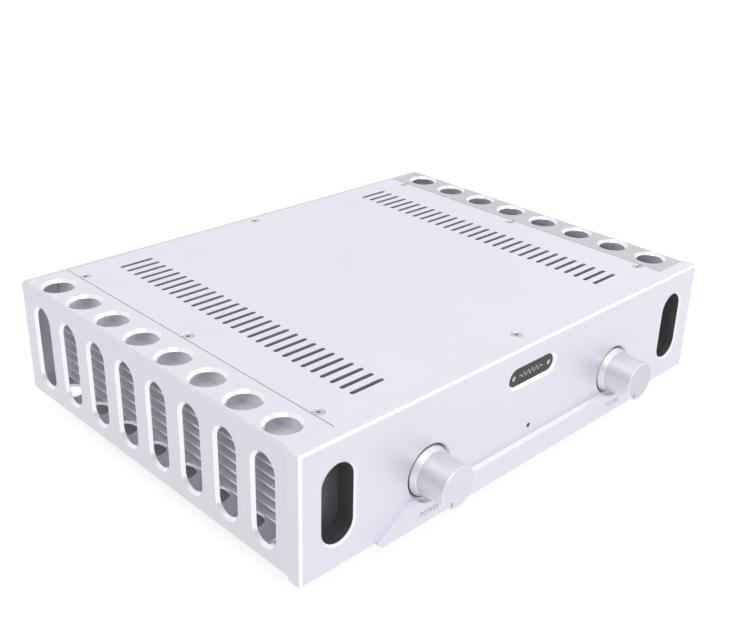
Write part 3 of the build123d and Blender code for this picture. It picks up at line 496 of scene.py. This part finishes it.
def label(word, middle, y):
    """Raised print of a plain function word on an upright face at depth y."""
    curve = bpy.data.curves.new(word, "FONT")
    curve.body = word
    curve.size = 1.0
    curve.space_character = 1.35
    curve.extrude = 0.004
    curve.resolution_u = 4
    text = bpy.data.objects.new(word, curve)
    mesh = bpy.data.meshes.new_from_object(text)
    bpy.data.objects.remove(text)
    xs = [v.co.x for v in mesh.vertices]
    zs = [v.co.y for v in mesh.vertices]
    for v in mesh.vertices:
        across = (v.co.x - min(xs)) / (max(xs) - min(xs))
        up = (v.co.y - min(zs)) / (max(zs) - min(zs))
        v.co = Vector((
            middle + (across - 0.5) * LABEL_WIDTH,
            y - LABEL_LIFT - v.co.z * LABEL_RELIEF,
            LABEL_BASE + up * LABEL_HEIGHT,
        ))
    mesh.update()
    return mesh


for word, side in (("POWER", -1), ("VOLUME", 1)):
    add_piece(
        f"label_{word.lower()}",
        label(word, side * KNOB_X + LABEL_SHIFT[word], LIP_FRONT),
        label_ink,
    )

plate_middle = centre("nameplate")
plate_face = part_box("nameplate")[0].y
WAVE_STEPS = 140
WAVE_LENGTH = 0.027
WAVE_SWING = 0.0021
WAVE_TURNS = 6.0
wave = []
for step in range(WAVE_STEPS + 1):
    t = step / WAVE_STEPS
    swell = math.sin(math.pi * t) ** 0.6
    wave.append((
        plate_middle.x + (t - 0.5) * WAVE_LENGTH,
        plate_middle.z + WAVE_SWING * swell * math.sin(t * 2 * math.pi * WAVE_TURNS),
    ))
add_piece("nameplate_wave", ribbon(wave, 0.0005, plate_face, 0.00008), screw_metal)

# ---------------------------------------------------------------- stage and light
floor_mesh = bpy.data.meshes.new("floor")
floor_bm = bmesh.new()
bmesh.ops.create_grid(floor_bm, x_segments=4, y_segments=4, size=8.0)
floor_bm.to_mesh(floor_mesh)
floor_bm.free()
floor = bpy.data.objects.new("floor", floor_mesh)
bpy.context.scene.collection.objects.link(floor)
floor_nodes = Nodes("floor_white")
floor_tone = floor_nodes.colours(floor_nodes.noise(3.0), (0.24, 0.24, 0.24), (0.26, 0.26, 0.26))
# the even glow of a white sweep; the glow stops under the case, a painted shadow there
floor_place = floor_nodes.axes(floor_nodes.coords)
sideways = floor_nodes.math("ABSOLUTE", floor_place[0])
lengthways = floor_nodes.math("ABSOLUTE", floor_place[1])
reach_x = floor_nodes.ramp(sideways, SIDE - 0.028, SIDE - 0.022, 1.0, 0.0)
reach_y = floor_nodes.ramp(lengthways, BACK - 0.036, BACK - 0.028, 1.0, 0.0)
shadow_under_case = floor_nodes.math("MULTIPLY", reach_x, reach_y)
floor_mesh.materials.append(
    floor_nodes.finish(
        Base_Color=floor_tone, Roughness=0.9, Emission_Color=(1, 1, 1, 1),
        Emission_Strength=floor_nodes.ramp(shadow_under_case, 0.0, 1.0, 0.8, 0.03),
    )
)

world = bpy.data.worlds.new("studio")
bpy.context.scene.world = world
world.use_nodes = True
world.node_tree.nodes["Background"].inputs["Color"].default_value = (1, 1, 1, 1)
# an even white room that is a little darker low down in front and on the left
look = world.node_tree.nodes.new("ShaderNodeTexCoord").outputs["Generated"]
facing = world.node_tree.nodes.new("ShaderNodeVectorMath")
facing.operation = "DOT_PRODUCT"
facing.inputs[1].default_value = (-0.72, -0.69, 0.0)
fade = world.node_tree.nodes.new("ShaderNodeMapRange")
fade.inputs["From Min"].default_value = 0.3
fade.inputs["From Max"].default_value = 0.95
fade.inputs["To Min"].default_value = 1.0
fade.inputs["To Max"].default_value = 0.6
world.node_tree.links.new(look, facing.inputs[0])
world.node_tree.links.new(facing.outputs["Value"], fade.inputs["Value"])
world.node_tree.links.new(fade.outputs["Result"], world.node_tree.nodes["Background"].inputs["Strength"])


LIGHT_AIM = Vector((0, 0, 0.05))


def softbox(name, place, size, power):
    """Rectangular soft light aimed at the middle of the case."""
    data = bpy.data.lights.new(name, "AREA")
    data.shape = "RECTANGLE"
    data.size, data.size_y = size
    data.energy = power
    light = bpy.data.objects.new(name, data)
    bpy.context.scene.collection.objects.link(light)
    light.location = place
    light.rotation_mode = "QUATERNION"
    light.rotation_quaternion = (LIGHT_AIM - Vector(place)).to_track_quat("-Z", "Y")


softbox("softbox_right", (1.35, -0.35, 1.6), (1.2, 1.2), 2.2)
softbox("softbox_front", (-0.6, -1.5, 1.15), (1.1, 0.8), 5.0)
softbox("softbox_above", (-0.45, -0.5, 1.7), (0.9, 0.9), 3.0)
softbox("softbox_far_right", (1.9, 0.65, 0.12), (1.0, 0.5), 1.2)

bpy.context.scene.view_settings.view_transform = "Standard"
bpy.context.scene.view_settings.look = "None"
